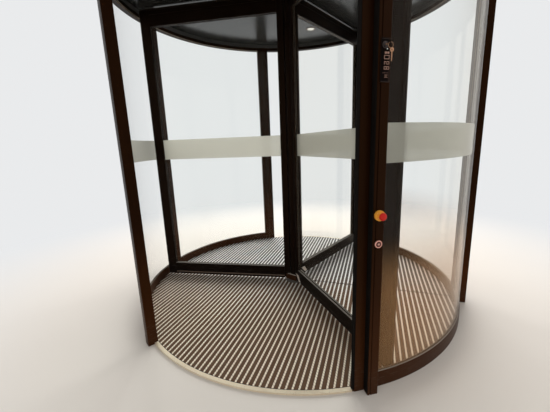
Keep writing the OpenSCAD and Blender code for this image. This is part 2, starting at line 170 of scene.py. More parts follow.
class DoorColours(bpy.types.PropertyGroup):
    """Colours of the finishes."""

    bronze: colour("Bronze", "Powder coat of the drum", (0.0115, 0.0038, 0.0012))
    # The drum's coat made darker: painted shade on shaft and wings
    wing_bronze: colour("Wing bronze", "Powder coat of shaft and wings", (0.0072, 0.0041, 0.0027))
    # Also the colour of the painted sheen on ledges
    dust: colour("Dust", "Dust on ledges and near the floor", (0.26, 0.24, 0.21))
    glass: colour("Glass", "Tint of one glass face", (0.986, 0.992, 0.988))
    # Orange of the painted floor reflection low on the right-hand drum panes, also the colour of
    # dust on the glass
    haze_and_reflection: colour("Haze", "Dust on the lower part of the glass", (0.72, 0.36, 0.12))
    film: colour("Film", "Frosted band", (0.53, 0.52, 0.47))
    steel: colour("Steel", "Threshold arcs", (1.0, 0.81, 0.61))
    rib: colour("Rib", "Ribs of the mat", (1.0, 0.80, 0.64))
    # The two halves differ by painted light: warm lobby light on one, grey daylight on the other
    pile_lobby: colour("Pile, lobby half", "Mat pile indoors", (0.128, 0.070, 0.041))
    pile_street: colour("Pile, street half", "Mat pile, greyed by dust", (0.105, 0.100, 0.093))
    ceiling: colour("Ceiling", "Gloss ceiling panel and its edge", (0.023, 0.023, 0.022))
    rubber: colour("Rubber", "Noses and gaskets", (0.0045, 0.0034, 0.0028))
    seal: colour("Seal", "Milky glazing beads", (0.22, 0.18, 0.14))
    bristle: colour("Bristle", "Brush seals", (0.018, 0.011, 0.007))
    collar: colour("Stop collar", "Yellow of the emergency stop", (0.88, 0.40, 0.045))
    button: colour("Stop button", "Red of the emergency stop", (0.58, 0.012, 0.005))
    panel: colour("Panel", "Black of the mode panel", (0.0036, 0.0018, 0.0016))
    icon: colour("Icons", "Printed marks of the mode panel", (0.50, 0.28, 0.21))
    fitting: colour("Fitting", "Satin plates and screws", (0.76, 0.68, 0.60))
    switch: colour("Key switch", "Ring of the key switch", (0.90, 0.46, 0.36))
    lock: colour("Lock", "Lock of the mode panel", (0.070, 0.055, 0.050))
    carrier: colour("Carrier", "Brush carriers and rims of the lamps", (0.21, 0.155, 0.12))
    brass: colour("Brass", "Keys and key ring", (0.62, 0.34, 0.19))


class StageSettings(bpy.types.PropertyGroup):
    """Camera, lamps and background."""

    floor: colour("Floor", "Studio floor", (0.71, 0.66, 0.60))
    backdrop: colour("Backdrop", "Background that the camera sees", (0.82, 0.83, 0.84))
    ambient: FloatProperty(
        name="Ambient", description="Strength of the light from all round", default=0.55, min=0
    )
    key: FloatProperty(
        name="Key", description="Street-side soft box", default=2500, min=0, unit="POWER"
    )
    fill: FloatProperty(
        name="Fill", description="Lobby-side soft box", default=400, min=0, unit="POWER"
    )
    lens: FloatProperty(
        name="Lens", description="Focal length", default=19.27, min=1, subtype="DISTANCE_CAMERA"
    )


def node_maker(operation, swapped=False):
    """A method that adds the Math node of one operation, for use as a Python operator."""

    def apply(self, *others):
        values = (*others, self) if swapped else (self, *others)
        return self.math(operation, *values)

    return apply


class Field:
    """A socket of a node tree, on which Python's operators add Math nodes."""

    def __init__(self, sheet, socket):
        self.sheet = sheet
        self.socket = socket

    def output(self, name):
        """Another output of the same node."""
        return Field(self.sheet, self.socket.node.outputs[name])

    def math(self, operation, *values):
        """A Math node on the values given."""
        return self.sheet.node("ShaderNodeMath", {"operation": operation}, dict(enumerate(values)))

    __add__, __radd__ = node_maker("ADD"), node_maker("ADD", True)
    __sub__, __rsub__ = node_maker("SUBTRACT"), node_maker("SUBTRACT", True)
    __mul__, __rmul__ = node_maker("MULTIPLY"), node_maker("MULTIPLY", True)
    __truediv__, __pow__ = node_maker("DIVIDE"), node_maker("POWER")
    __abs__, sine = node_maker("ABSOLUTE"), node_maker("SINE")

    def wrapped(self, low, high):
        """The value folded into the range from low to high."""
        return self.math("WRAP", self, high, low)

    def rise(self, low, high):
        """A smooth step from 0 at low to 1 at high."""
        inputs = {"Value": self, "From Min": low, "From Max": high}
        return self.sheet.node("ShaderNodeMapRange", {"interpolation_type": "SMOOTHSTEP"}, inputs)


class Sheet:
    """A node tree that is filled from Python expressions."""

    def __init__(self, tree):
        self.tree = tree
        tree.nodes.clear()

    def node(self, kind, settings=None, inputs=None, output=0):
        """Adds a node, sets it, feeds its sockets and gives one of its outputs."""
        made = self.tree.nodes.new(kind)
        for name, value in (settings or {}).items():
            setattr(made, name, value)
        for name, value in (inputs or {}).items():
            socket = made.inputs[name]
            if isinstance(value, Field):
                self.tree.links.new(value.socket, socket)
            elif socket.type == "RGBA":
                socket.default_value = (*value, 1)
            else:
                socket.default_value = value
        return Field(self, made.outputs[output]) if made.outputs else made

    def blend(self, share, first, second):
        """A colour between two colours."""
        inputs = {0: share, 6: first, 7: second}
        return self.node("ShaderNodeMix", {"data_type": "RGBA"}, inputs, 2)

    def shades(self, share, base, first, second):
        """A colour between two shades of one colour."""
        return self.blend(share, tuned(base, first), tuned(base, second))

    def mix(self, share, first, second):
        """A shader between two shaders."""
        return self.node("ShaderNodeMixShader", inputs={0: share, 1: first, 2: second})


class Finish(Sheet):
    """A material whose patterns read the piece's own coordinates."""

    def __init__(self, name):
        self.material = bpy.data.materials.new(name)
        self.material.use_nodes = True
        super().__init__(self.material.node_tree)
        self.spot = self.node("ShaderNodeTexCoord", output="Object")
        self.x = self.node("ShaderNodeSeparateXYZ", inputs={0: self.spot})
        self.y = self.x.output("Y")
        self.z = self.x.output("Z")
        normal = self.spot.output("Normal")
        self.upward = self.node("ShaderNodeSeparateXYZ", inputs={0: normal}, output="Z")

    def radius(self):
        """Distance from the door's axis."""
        return (self.x * self.x + self.y * self.y) ** 0.5

    def stretched(self, x, y, z):
        """The piece's coordinates, each scaled by a value of its own."""
        inputs = {0: self.spot, 1: (x, y, z)}
        return self.node("ShaderNodeVectorMath", {"operation": "MULTIPLY"}, inputs)

    def noise(self, scale, detail, roughness=0.5, on=None):
        """Cloudy noise, about 0.5 on average, on the piece's coordinates or another vector."""
        inputs = {"Vector": on or self.spot, "Scale": scale, "Detail": detail}
        return self.node("ShaderNodeTexNoise", inputs={**inputs, "Roughness": roughness})

    def cells(self, scale, on=None):
        """Distance to the nearest point of a scatter of points."""
        return self.node("ShaderNodeTexVoronoi", inputs={"Vector": on or self.spot, "Scale": scale})

    def bump(self, height, distance, strength=1.0):
        """A normal from a height field in metres."""
        inputs = {"Height": height, "Distance": distance, "Strength": strength}
        return self.node("ShaderNodeBump", inputs=inputs, output="Normal")

    def surface(self, **sockets):
        """A Principled shader; underscores in the names stand for spaces."""
        inputs = {name.replace("_", " "): value for name, value in sockets.items()}
        return self.node("ShaderNodeBsdfPrincipled", inputs=inputs)

    def close(self, shader):
        """Links the shader to the material's output and gives the material."""
        self.node("ShaderNodeOutputMaterial", inputs={"Surface": shader})
        return self.material


def tuned(values, factor):
    """A colour made lighter or darker."""
    return tuple(min(1.0, value * factor) for value in values)


def powder_coat(made, colours, base, ledge, gloss, top, drift):
    """Bronze coat: fine grain, slow clouds, dust and a painted sheen on ledges below top, scuffs
    near the floor, and painted light near the floor.
    """
    base = getattr(colours, base)
    cloud = made.noise(2.1, 3)
    grain = made.noise(1100, 1)
    low = 1 - made.z.rise(0.03, 0.30)
    scuff = made.noise(3, 4, 0.6, made.stretched(5, 5, 70)).rise(0.56, 0.68) * low
    settled = 0.25 + 0.5 * made.noise(2.6, 5, 0.6) + 0.25 * made.noise(60, 2)
    # Upward faces below top: partly dust, partly a painted sheen of bright sky, as strong as ledge
    # asks
    dust = made.upward.rise(0.7, 0.98) * settled * (1 - made.z.rise(top, top + 0.6))
    tone = made.shades(cloud.rise(0.25, 0.75), base, 0.80, 1.25)
    # Lighter, warmer bronze towards the floor: painted light thrown up from the floor
    tone = made.blend((1 - made.z.rise(0.1, 1.1)) * (0.5 + 0.5 * cloud), tone, tuned(base, drift))
    # Scuffs, dust and the painted ledge sheen, all in the dust colour
    worn = scuff * 0.16 + dust * ledge + low * (0.02 * cloud)
    return made.surface(
        Base_Color=made.blend(worn, tone, colours.dust),
        Roughness=0.26 + 0.10 * grain + 0.10 * cloud + dust * 0.25 + scuff * 0.08,
        Specular_IOR_Level=gloss, Specular_Tint=(1.0, 0.50, 0.25),
        Normal=made.bump(grain, 0.00012),
    )


def glass(made, colours):
    """Clear glass that mirrors more at a slant, with faint wipe marks, a dusty lower part and a
    painted warm floor reflection low on the right-hand drum panes.
    """
    facing = made.node("ShaderNodeLayerWeight", inputs={"Blend": 0.5}, output="Facing")
    wipe = made.noise(2.4, 4, 0.62, made.stretched(1.0, 1.0, 0.35)).rise(0.52, 0.78)
    # Low on the right-hand drum panes: a painted reflection of a warm floor, in an orange colour
    wall = made.radius().rise(1.38, 1.45) * made.x.rise(0.1, 0.9)
    gloss = 0.006 + 0.36 * facing ** 4 + wipe * 0.008
    haze_and_reflection = (1 - made.z.rise(0.58, 0.94)) * (0.004 + 0.014 * wipe + 0.150 * wall)
    # Share of dust and painted reflection in the glass's own colour
    dust_reflection_share = haze_and_reflection / (gloss + haze_and_reflection)
    film = made.surface(
        Base_Color=made.blend(dust_reflection_share, (0.98, 0.88, 0.76), colours.haze_and_reflection),
        Metallic=1 - dust_reflection_share, Roughness=0.02 + wipe * 0.16,
    )
    through = made.node("ShaderNodeBsdfTransparent", inputs={"Color": colours.glass})
    return made.mix(gloss + haze_and_reflection, through, film)


def frosted(made, colours):
    """Frosted film: pale, half see-through, with a fine speckle."""
    speckle = made.noise(700, 2)
    cloud = made.noise(1.6, 3)
    pale = made.surface(
        Base_Color=made.shades(cloud, colours.film, 0.94, 1.05),
        Roughness=0.55 + 0.15 * speckle, Specular_IOR_Level=0.25,
        Normal=made.bump(speckle, 0.0001),
    )
    glow = made.node("ShaderNodeBsdfTranslucent", inputs={"Color": tuned(colours.film, 1.15)})
    through = made.node("ShaderNodeBsdfTransparent", inputs={"Color": (0.96, 0.97, 0.96)})
    return made.mix(0.66 + 0.06 * cloud + 0.06 * speckle, through, made.mix(0.5, pale, glow))


def brushed(made, colours):
    """Stainless steel brushed along the arcs, with foot scuffs."""
    turn = made.x.math("ARCTAN2", made.y, made.x)
    arcs = {0: made.radius() * 1400, 1: turn * 26, 2: made.z * 1400}
    line = made.noise(1, 2, on=made.node("ShaderNodeCombineXYZ", inputs=arcs))
    patch = made.noise(9, 4, 0.6)
    scuff = made.noise(5, 3, on=made.stretched(40, 9, 9)).rise(0.60, 0.70)
    tone = made.shades(patch, colours.steel, 0.82, 1.12)
    return made.surface(
        Base_Color=made.blend(scuff * 0.35, tone, tuned(colours.steel, 0.55)),
        Metallic=0.55, Roughness=0.24 + 0.16 * line + 0.14 * patch + 0.10 * scuff,
        Normal=made.bump(line, 0.00006),
    )


def ribs(made, colours):
    """Worn aluminium with two fine grooves and cross notches, darker in the low places; paler and
    greyer towards the street as painted glare, and darker at the sides, partly scuffs and partly
    painted shade that leaves a painted highlight down the middle.
    """
    across = made.x.wrapped(-RIB_PITCH / 2, RIB_PITCH / 2)
    groove = 1 - (abs(abs(across) - 0.0022)).rise(0.0002, 0.0008)
    notch = (made.y * (math.tau / 0.0220) + across * 230).sine().rise(0.30, 0.90)
    patch = made.noise(7, 5, 0.65)
    chip = made.noise(130, 3, 0.7).rise(0.56, 0.66)
    # Painted glare: towards the street the ribs turn paler and greyer and lose their dark marks
    street = made.y.rise(-1.00, 0.30)
    warm = made.shades(patch, colours.rib, 0.82, 1.25)
    painted_glare = made.blend(patch, (0.80, 0.79, 0.77), (0.95, 0.94, 0.92))
    # Darker sides of each rib: partly scuffs, partly painted shade that leaves a painted highlight
    # down its middle
    edge = abs(across).rise(0.0036, 0.0063) * (1 - 0.5 * street)
    # Grooves, notches and specks darker, plus the sides' painted shade
    dark_marks_and_shade = (groove * 0.18 + notch * 0.52 + chip * 0.14) * (0.5 + 0.5 * patch) + edge * 0.66
    dark_marks_and_shade = dark_marks_and_shade * (1 - 0.70 * street)
    return made.surface(
        Base_Color=made.blend(dark_marks_and_shade, made.blend(street, warm, painted_glare), (0.25, 0.155, 0.100)),
        Metallic=0.18, Roughness=0.32 + 0.18 * patch + 0.10 * chip,
        Normal=made.bump(1 - groove * 0.7 - notch * 0.5, 0.0006),
    )


def pile(made, colours):
    """Ribbed textile: rows of loops and lint, with painted shade between the rows and loops, and
    painted light that makes the lobby half warmer and the street half greyer.
    """
    loops = made.cells(420, made.stretched(1, 0.6, 1))
    rows = ((made.x - RIB_PITCH / 2) * (math.tau / RIB_PITCH * 3)).sine()
    rows = 1 - (rows * rows).rise(0.35, 0.95)
    patch = made.noise(5, 5, 0.6)
    fibre = made.noise(900, 2, on=made.stretched(1, 0.3, 1))
    lint = made.noise(260, 2).rise(0.70, 0.76)
    # Painted light: a warm tone on the lobby half, a greyer one towards the street
    street = made.y.rise(-0.30, 0.35)
    tone = made.blend(street, colours.pile_lobby, colours.pile_street)
    pale = made.blend(street, (0.215, 0.125, 0.074), (0.145, 0.136, 0.125))
    # Painted shade in the gaps between loops and between rows, where the bump is low
    shade = made.blend((0.25 + 0.4 * patch) * (1 - loops * 0.9), tone, pale)
    dark = made.blend((1 - rows) * 0.46 + fibre * 0.2, shade, (0.030, 0.018, 0.010))
    return made.surface(
        Base_Color=made.blend(lint * 0.5, dark, (0.38, 0.35, 0.31)),
        Roughness=0.85 + 0.1 * fibre, Specular_IOR_Level=0.2,
        Normal=made.bump(rows * 0.5 + fibre * 0.5 - loops * 0.8, 0.0012),
    )


def plain(made, colours, base, shades, cloud, rough, share=None, stretch=None, grain=None,
          relief=None, grain_rough=False, **sockets):
    """Two shades of a colour in clouds; the clouds or a finer grain roughen and emboss it."""
    base = getattr(colours, base)
    cloud = made.noise(*cloud, on=made.stretched(*stretch) if stretch else None)
    grain = made.noise(*grain) if grain else cloud
    if relief:
        sockets["Normal"] = made.bump(grain, *relief)
    return made.surface(
        Base_Color=made.shades(cloud.rise(*share) if share else cloud, base, *shades),
        Roughness=rough[0] + rough[1] * (grain if grain_rough else cloud), **sockets,
    )


def lacquer(made, colours):
    """White lacquer."""
    grain = made.noise(500, 2)
    return made.surface(
        Base_Color=made.blend(grain, (0.78, 0.77, 0.73), (0.84, 0.83, 0.79)),
        Roughness=0.32 + 0.1 * grain,
    )


def lit_lens(made, colours):
    """Lit lens with a fine prism pattern."""
    glow = made.blend(made.cells(260), (1.0, 0.98, 0.94), (0.86, 0.84, 0.79))
    return made.surface(
        Base_Color=(0.8, 0.8, 0.78), Roughness=0.4, Emission_Color=glow, Emission_Strength=0.42,
    )


def scuffed_plate(made, colours):
    """Scuffed pale metal of the small plates at the hub's foot."""
    scuff = made.noise(4, 4, 0.6, made.stretched(60, 60, 14))
    dull = scuff.rise(0.45, 0.75)
    return made.surface(
        Base_Color=made.shades(dull, colours.fitting, 1.25, 0.6),
        Metallic=0.25, Roughness=0.30 + 0.25 * dull, Normal=made.bump(scuff, 0.0002),
    )


# Settings that several plastics share, and several metals
PLASTIC = dict(shades=(0.86, 1.12), cloud=(60, 4, 0.6), grain=(1500, 2), relief=(0.00005,))
METAL = dict(
    shades=(0.80, 1.10), cloud=(260, 2), stretch=(1, 1, 12), relief=(0.00004,), Metallic=0.8
)
# Each finish with its slot, the function that makes it and its settings
FINISHES = {
    # ledge: dust plus painted sheen on upward faces, mostly sheen at the wings' value; the last
    # value paints lighter bronze near the floor
    "dark_bronze": ("bronze_metal", powder_coat, dict(
        base="bronze", ledge=0.22, gloss=0.08, top=4.0, drift=4.6
    )),
    # Darker copy of the drum's coat for shaft and wings: painted shade
    "wing_bronze": ("bronze_metal", powder_coat, dict(
        base="wing_bronze", ledge=0.80, gloss=0.045, top=1.9, drift=1.0
    )),
    "pane_glass": ("clear_glass", glass, {}),
    "frosted_film": ("clear_glass", frosted, {}),
    "threshold_steel": ("brushed_steel", brushed, {}),
    "worn_ribs": ("rib_metal", ribs, {}),
    "mat_pile": ("mat_insert", pile, {}),
    "ceiling_gloss": ("gloss_ceiling", plain, dict(
        base="ceiling", shades=(0.9, 1.12), cloud=(3, 3), rough=(0.19, 0.07), grain=(5, 1),
        relief=(0.002, 0.4), Specular_IOR_Level=0.34,
    )),
    "edge_gloss": ("gloss_ceiling", plain, dict(
        PLASTIC, base="ceiling", shades=(2.064, 2.688), cloud=(6, 4, 0.6), rough=(0.24, 0.12),
        Specular_IOR_Level=0.34,
    )),
    "lamp_lacquer": ("lamp_white", lacquer, {}),
    "lamp_lens": ("lamp_white", lit_lens, {}),
    "brush_bristle": ("brush_black", plain, dict(
        base="bristle", shades=(1, 1.6), cloud=(1, 2), stretch=(900, 900, 60),
        share=(0.45, 0.8), rough=(0.62, 0.2), Specular_IOR_Level=0.10,
    )),
    "black_rubber": ("brush_black", plain, dict(
        base="rubber", shades=(1, 2), cloud=(14, 4, 0.6), share=(0.35, 0.9), grain=(700, 2),
        rough=(0.55, 0.2), grain_rough=True, relief=(0.0001,), Specular_IOR_Level=0.06,
    )),
    "clear_seal": ("brush_black", plain, dict(
        base="seal", shades=(0.7, 1.15), cloud=(9, 4, 0.6), grain=(500, 2), rough=(0.32, 0.15),
        grain_rough=True, relief=(0.0001,), Specular_IOR_Level=0.4,
    )),
    "collar_yellow": ("yellow_plastic", plain, dict(
        PLASTIC, base="collar", rough=(0.34, 0.12), Specular_IOR_Level=0.28
    )),
    "button_red": ("red_plastic", plain, dict(
        PLASTIC, base="button", rough=(0.30, 0.12), Specular_IOR_Level=0.26
    )),
    "switch_red": ("red_plastic", plain, dict(
        PLASTIC, base="button", shades=(0.1204, 0.1568), rough=(0.34, 0.12),
        Specular_IOR_Level=0.20,
    )),
    "panel_membrane": ("panel_black", plain, dict(
        PLASTIC, base="panel", cloud=(30, 4, 0.6), rough=(0.34, 0.12), Specular_IOR_Level=0.03
    )),
    "icon_paint": ("panel_black", plain, dict(
        base="icon", shades=(0.6, 1), cloud=(900, 3, 0.7), share=(0.35, 0.7), rough=(0.45, 0.1)
    )),
    "foot_plate": ("brushed_steel", scuffed_plate, {}),
    "satin_chrome": ("brushed_steel", plain, dict(METAL, base="fitting", rough=(0.22, 0.14))),
    "copper_satin": ("brushed_steel", plain, dict(METAL, base="switch", rough=(0.26, 0.14))),
    "dark_nickel": ("brushed_steel", plain, dict(METAL, base="lock", rough=(0.30, 0.14))),
    "carrier_metal": ("brushed_steel", plain, dict(METAL, base="carrier", rough=(0.34, 0.14))),
    "worn_brass": ("key_brass", plain, dict(
        base="brass", shades=(0.6, 1.2), cloud=(140, 4, 0.65), share=(0.3, 0.75),
        rough=(0.24, 0.25), relief=(0.0001,), Metallic=0.9,
    )),
}
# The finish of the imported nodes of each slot: the first one above that has the slot
SLOT_FINISH = {slot: name for name, (slot, *_) in reversed(FINISHES.items())}
NODE_FINISH = {
    # The floor pivot takes the wings' darker bronze with its painted shade
    "key_switch": "copper_satin", "key_barrel": "dark_nickel", "floor_pivot": "wing_bronze",
    "downlights": "carrier_metal",
}


def finish_named(name):
    """The material of that name, made when it is first asked for."""
    if name in bpy.data.materials:
        return bpy.data.materials[name]
    _, recipe, settings = FINISHES[name]
    made = Finish(name)
    return made.close(recipe(made, bpy.context.scene.door_colours, **settings))


def mm(*points):
    """Points given in millimetres, in metres."""
    return [tuple(0.001 * value for value in point) for point in points]


def mirrored(half):
    """A closed outline from the half of it that has the second value above 0."""
    return half + [(first, -second) for first, second in reversed(half)]


def shifted(x, y, z):
    """A place moved away from the origin."""
    return Matrix.Translation((x, y, z))


def tilted(angle, axis):
    """A turn by degrees about an axis of the place."""
    return Matrix.Rotation(math.radians(angle), 4, axis)


def around(angle):
    """Place on the drum at an angle: X points outwards and Y along the wall."""
    return tilted(angle, "Z")


def on_control_face(height):
    """Place on the control face of the lobby-right post, with X pointing out of it."""
    return around(-POST_ANGLE) @ shifted(CONTROL_FACE, 0, height)


def in_wing(turn):
    """Place in a wing at rest: X points outwards along the wing and Y across it."""
    return around(REST_ANGLE + turn)


def outwards():
    """Turns the Z axis of a turned part to point along X."""
    return tilted(90, "Y")


def flat_face(bm, points, place):
    """One flat face through the points, which starts a section."""
    return bm.faces.new([bm.verts.new(place @ Vector(point)) for point in points])


def far_end(bm, faces, along):
    """Draws faces out along a vector; gives the vertices at their far end."""
    drawn = bmesh.ops.extrude_face_region(bm, geom=faces)
    far = [part for part in drawn["geom"] if isinstance(part, bmesh.types.BMVert)]
    bmesh.ops.translate(bm, verts=far, vec=along)
    return far


def drawn_out(bm, points, along, place):
    """A section drawn out along a vector; gives the vertices at its far end."""
    return far_end(bm, [flat_face(bm, points, place)], place.to_3x3() @ Vector(along))


def raised(bm, plan, low, high, place):
    """A plan drawn up from one height to another."""
    drawn_out(bm, [(x, y, low) for x, y in plan], (0, 0, high - low), place)


def block(bm, low, high, place, bevel=0.0):
    """A box between two corners, with rounded edges."""
    low, high = Vector(low), Vector(high)
    size = Matrix.Diagonal((*(high - low), 1))
    where = place @ Matrix.Translation((low + high) / 2) @ size
    made = bmesh.ops.create_cube(bm, size=1, matrix=where)
    if bevel:
        rounded(bm, list({edge for vert in made["verts"] for edge in vert.link_edges}), bevel)


def rounded(bm, edges, width):
    """Bevels edges with a round profile."""
    bmesh.ops.bevel(
        bm, geom=edges, offset=width, offset_type="OFFSET", affect="EDGES", segments=2,
        profile=0.5, material=-1,
    )


def turned(bm, profile, place, steps, closed=False):
    """A profile of radius and height turned round the place's Z axis."""
    verts = [bm.verts.new(place @ Vector((radius, 0, height))) for radius, height in profile]
    ends = verts[1:] + verts[:1] if closed else verts[1:]
    edges = [bm.edges.new(pair) for pair in zip(verts, ends)]
    bmesh.ops.spin(
        bm, geom=verts + edges, cent=place.translation, axis=place.to_3x3().col[2],
        angle=math.tau, steps=steps, use_merge=True,
    )


def swept(bm, section, start, end, step=1.0):
    """A section of radius and height swept round the drum between two angles."""
    start, end = min(start, end), max(start, end)
    face = flat_face(bm, [(radius, 0, height) for radius, height in section], around(start))
    bmesh.ops.spin(
        bm, geom=[face], cent=(0, 0, 0), axis=(0, 0, 1), angle=math.radians(end - start),
        steps=max(2, round((end - start) / step)),
    )


def finished(bm, name, finish, body="surround", sharp=32):
    """Closes a mesh, shades it and puts the piece on its body with its finish."""
    bmesh.ops.remove_doubles(bm, verts=bm.verts, dist=0.000001)
    bmesh.ops.recalc_face_normals(bm, faces=bm.faces)
    for face in bm.faces:
        face.smooth = True
    for edge in bm.edges:
        edge.smooth = edge.calc_face_angle(0) < math.radians(sharp)
    piece = placed(bm, name, finish_named(finish))
    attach(piece, body)
    return piece


def placed(bm, name, material):
    """Turns a finished mesh into an object in the scene."""
    mesh = bpy.data.meshes.new(name)
    bm.to_mesh(mesh)
    bm.free()
    mesh.materials.append(material)
    piece = bpy.data.objects.new(name, mesh)
    bpy.context.scene.collection.objects.link(piece)
    return piece


def wall_limits(side, end, gap):
    """Angles at which a pane meets its facade post and its door post."""
    toward = math.copysign(1, end - side)
    first = side + toward * math.degrees((HALF_WEB + gap) / GLASS_INNER)
    last = end - toward * math.degrees((HALF_POST + gap) / GLASS_INNER)
    return first, last


class DOOR_OT_finishes(bpy.types.Operator):
    """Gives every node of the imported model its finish"""

    bl_idname = "door.finishes"
    bl_label = "Finishes of the packed parts"

    def execute(self, context):
        slots = {part["node"]: part["material_slot"] for part in frame["record"]["subparts"]}
        for name, node in NODES.items():
            finish = NODE_FINISH.get(name, SLOT_FINISH[slots[name]])
            # Shaft and wings take the darker copy of the bronze, which paints shade on them
            if finish == "dark_bronze" and name.startswith(("wing_", "centre_")):
                finish = "wing_bronze"
            node.data.materials.clear()
            node.data.materials.append(finish_named(finish))
        return {"FINISHED"}


class DOOR_OT_frosted_bands(bpy.types.Operator):
    """Puts a frosted band on every pane of the drum and of the wings"""

    bl_idname = "door.frosted_bands"
    bl_label = "Frosted bands"

    def execute(self, context):
        sizes = context.scene.door_sizes
        low, high = sizes.band_bottom, sizes.band_bottom + sizes.band_height
        outer = GLASS_INNER - 8 * AIR
        inner = outer - sizes.film
        for name, (side, end) in ROUND_PANES.items():
            bm = bmesh.new()
            section = [(inner, low), (outer, low), (outer, high), (inner, high)]
            swept(bm, section, *wall_limits(side, end, 5 * AIR))
            finished(bm, f"frosted_band_{name}", "frosted_film")
        near = HALF_PANE + 2 * AIR
        first, last = HUB_FACE + 5 * AIR, STILE_FACE - 5 * AIR
        for name, turn in WINGS.items():
            bm = bmesh.new()
            block(bm, (first, near, low), (last, near + sizes.film, high), in_wing(turn))
            finished(bm, f"frosted_band_wing_{name}", "frosted_film", "rotor")
        return {"FINISHED"}


class DOOR_OT_wall_beads(bpy.types.Operator):
    """Lays the glazing beads along the four edges of each round pane"""

    bl_idname = "door.wall_beads"
    bl_label = "Glazing beads of the drum"

    def execute(self, context):
        faces = ((GLASS_INNER - 2 * AIR, -1), (GLASS_OUTER + 2 * AIR, 1))
        for name, (side, end) in ROUND_PANES.items():
            bm = bmesh.new()
            for face, out in faces:
                heel = face + out * 0.0006
                for base, up in ((RAIL_TOP, 1), (BEAM_BOTTOM, -1)):
                    foot = base - up * 0.006
                    section = [(heel, foot), (face, foot), *self.bead(context, face, out, base, up),
                               (heel, base + up * AIR)]
                    swept(bm, section, *wall_limits(side, end, 3 * AIR))
            toward = math.copysign(1, end - side)
            for angle, half, turn in ((side, HALF_WEB, toward), (end, HALF_POST, -toward)):
                for face, out in faces:
                    base = turn * half
                    plan = [(face, base + turn * AIR), *self.bead(context, face, out, base, turn)]
                    raised(bm, plan, RAIL_TOP, BEAM_BOTTOM, around(angle))
            finished(bm, f"wall_bead_{name}", "clear_seal")
        return {"FINISHED"}

    def bead(self, context, face, out, base, up):
        """The visible outline of a bead that stands on its base against a glass face."""
        sizes = context.scene.door_sizes
        width, tall = sizes.bead_width, sizes.bead_height
        return [
            (face, base + up * (tall + 0.001)),
            (face + out * width * 0.4, base + up * tall),
            (face + out * width, base + up * tall * 0.45),
            (face + out * width, base + up * AIR),
        ]


class DOOR_OT_wing_beads(bpy.types.Operator):
    """Frames the glass of each wing with a glazing bead on both faces"""

    bl_idname = "door.wing_beads"
    bl_label = "Glazing beads of the wings"

    def execute(self, context):
        sizes = context.scene.door_sizes
        low, high = Vector((HUB_FACE, PANE_BOTTOM)), Vector((STILE_FACE, PANE_TOP))
        slack = 0.001
        for name, turn in WINGS.items():
            bm = bmesh.new()
            for face in (-1, 1):
                near = face * (HALF_PANE + AIR)
                corners = ((low.x, low.y), (high.x, low.y), (high.x, high.y), (low.x, high.y))
                whole = flat_face(bm, [(x, near, z) for x, z in corners], Matrix())
                # Known fault: the face has no normal yet, so its inset gets no width and only the
                # bead's outer walls remain. A whole.normal_update() at this place gives it width
                ring = bmesh.ops.inset_individual(
                    bm, faces=[whole], thickness=sizes.bead_height, use_even_offset=True
                )
                bmesh.ops.delete(bm, geom=[whole], context="FACES_ONLY")
                verts = far_end(bm, ring["faces"], (0, face * (sizes.bead_width - AIR), 0))
                crest = {
                    vert for vert in verts
                    if low.x + slack < vert.co.x < high.x - slack
                    and low.y + slack < vert.co.z < high.y - slack
                }
                rounded(bm, [edge for edge in bm.edges if crest.issuperset(edge.verts)], 0.0016)
            bm.transform(in_wing(turn))
            finished(bm, f"wing_{name}_beads", "clear_seal", "rotor")
        return {"FINISHED"}


def tuft_block(pitch, seed):
    """A short length of bristles that stand on X, one tuft beside the other."""
    chance = random.Random(seed)
    bm = bmesh.new()
    for index in range(TUFTS):
        depth = 0.0152 + chance.uniform(-0.0012, 0.0003)
        lean = chance.uniform(-0.05, 0.05)
        place = (
            shifted((index + 0.5) * pitch, chance.uniform(-0.0003, 0.0003), 0.004)
            @ Matrix.Rotation(lean, 4, "Y")
            @ shifted(0, 0, depth / 2)
            @ Matrix.Diagonal((pitch * 0.62, 0.0042, 1, 1))
            @ tilted(45, "Z")
        )
        bmesh.ops.create_cone(
            bm, cap_ends=True, segments=4, radius1=1.0, radius2=chance.uniform(0.66, 0.94),
            depth=depth, matrix=place,
        )
    mesh = bpy.data.meshes.new("tuft_block")
    bm.to_mesh(mesh)
    bm.free()
    return mesh


class DOOR_OT_brush_seals(bpy.types.Operator):
    """Makes the brush seals below, above and at the outer edge of each wing"""

    bl_idname = "door.brush_seals"
    bl_label = "Brush seals"

    def execute(self, context):
        pitch = context.scene.door_sizes.bristle_pitch
        down = tilted(180, "X")
        out = outwards() @ tilted(180, "Z")
        run = OUTER_FACE - HUB_FACE
        runs = (
            (shifted(HUB_FACE, 0, FRAME_BOTTOM) @ down, run, LOWER_REACH),
            (shifted(HUB_FACE, 0, FRAME_TOP), run, UPPER_REACH),
            (shifted(OUTER_FACE, 0, SEAL_BOTTOM) @ out, SEAL_TOP - SEAL_BOTTOM, 1),
        )
        strip = mirrored(mm((0, 4.5), (3.0, 4.5), (4.5, 3.6)))
        for number, (name, turn) in enumerate(WINGS.items()):
            tufts = [tuft_block(pitch, 10 * number + seed) for seed in range(4)]
            bm = bmesh.new()
            for place, run, reach in runs:
                drawn_out(bm, [(0, y, z) for z, y in strip], (run, 0, 0), place)
                count = round(run / (TUFTS * pitch))
                fit = run / count
                for index in range(count):
                    part = tufts[index % len(tufts)].copy()
                    scale = Matrix.Diagonal((fit / (TUFTS * pitch), 1, reach, 1))
                    part.transform(place @ shifted(index * fit, 0, 0) @ scale)
                    bm.from_mesh(part)
                    bpy.data.meshes.remove(part)
            bm.transform(in_wing(turn))
            for part in tufts:
                bpy.data.meshes.remove(part)
            seal = finished(bm, f"wing_{name}_brushes", "brush_bristle", "rotor")
            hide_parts(f"wing_{name}_seals")
        return {"FINISHED"}


